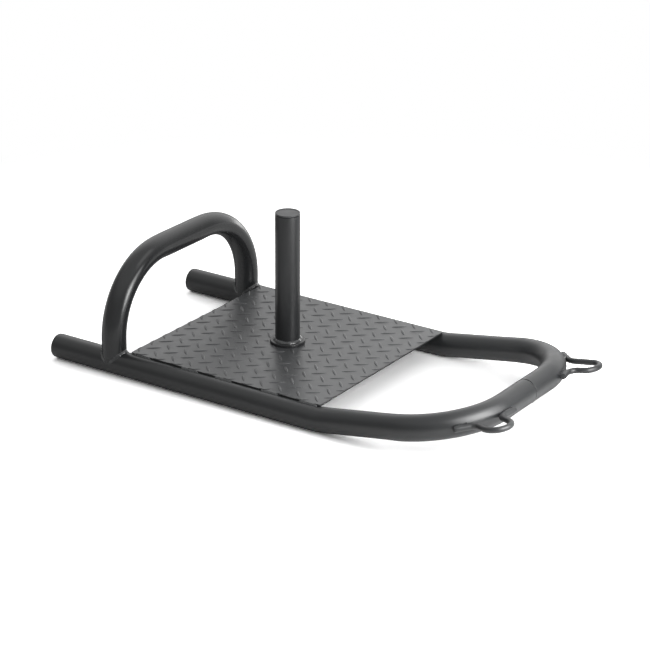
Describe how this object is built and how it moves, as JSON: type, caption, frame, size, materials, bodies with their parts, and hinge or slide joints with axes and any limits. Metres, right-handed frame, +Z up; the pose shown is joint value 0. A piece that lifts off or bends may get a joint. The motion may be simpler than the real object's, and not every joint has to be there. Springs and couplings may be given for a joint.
{
  "type": "drag sled",
  "caption": "Weight sled with tube runners rising to a rounded nose, a chequer-plate deck with an upright plate post, an arched push handle and round-bar tow eyes.",
  "frame": {"origin": "middle of the overall box, on the floor that the runners rest on", "axes": "+X forward to the nose and the tow eyes, +Y to the sled's left, +Z up"},
  "size_m": [1.0342, 0.5104, 0.3295],
  "materials": {
    "frame_paint": "satin black powder coat on steel tube",
    "weld_paint": "satin black powder coat over weld beads",
    "deck_paint": "satin black powder coat on chequer plate",
    "cap_plastic": "fine matt moulded plastic",
    "plug_plastic": "fine matt moulded plastic"
  },
  "bodies": {
    "root": {"frame_tube_right": "frame_paint", "frame_tube_left": "frame_paint", "nose_sleeve": "frame_paint", "nose_seam_weld": "weld_paint", "push_handle": "frame_paint", "handle_weld_right_front": "weld_paint", "handle_weld_right_rear": "weld_paint", "handle_weld_left_front": "weld_paint", "handle_weld_left_rear": "weld_paint", "deck_plate": "deck_paint", "deck_stitch_right_1": "weld_paint", "deck_stitch_right_2": "weld_paint", "deck_stitch_right_3": "weld_paint", "deck_stitch_right_4": "weld_paint", "deck_stitch_right_5": "weld_paint", "deck_stitch_left_1": "weld_paint", "deck_stitch_left_2": "weld_paint", "deck_stitch_left_3": "weld_paint", "deck_stitch_left_4": "weld_paint", "deck_stitch_left_5": "weld_paint", "deck_crossbar": "frame_paint", "weight_post": "frame_paint", "post_collar": "frame_paint", "post_weld": "weld_paint", "post_cap": "cap_plastic", "skid_plug_right": "plug_plastic", "skid_plug_left": "plug_plastic", "tow_eye_right": "frame_paint", "tow_eye_left": "frame_paint", "tow_eye_weld_right_outer_upper": "weld_paint", "tow_eye_weld_right_outer_lower": "weld_paint", "tow_eye_weld_right_inner_upper": "weld_paint", "tow_eye_weld_right_inner_lower": "weld_paint", "tow_eye_weld_left_outer_upper": "weld_paint", "tow_eye_weld_left_outer_lower": "weld_paint", "tow_eye_weld_left_inner_upper": "weld_paint", "tow_eye_weld_left_inner_lower": "weld_paint"}
  },
  "joints": []
}
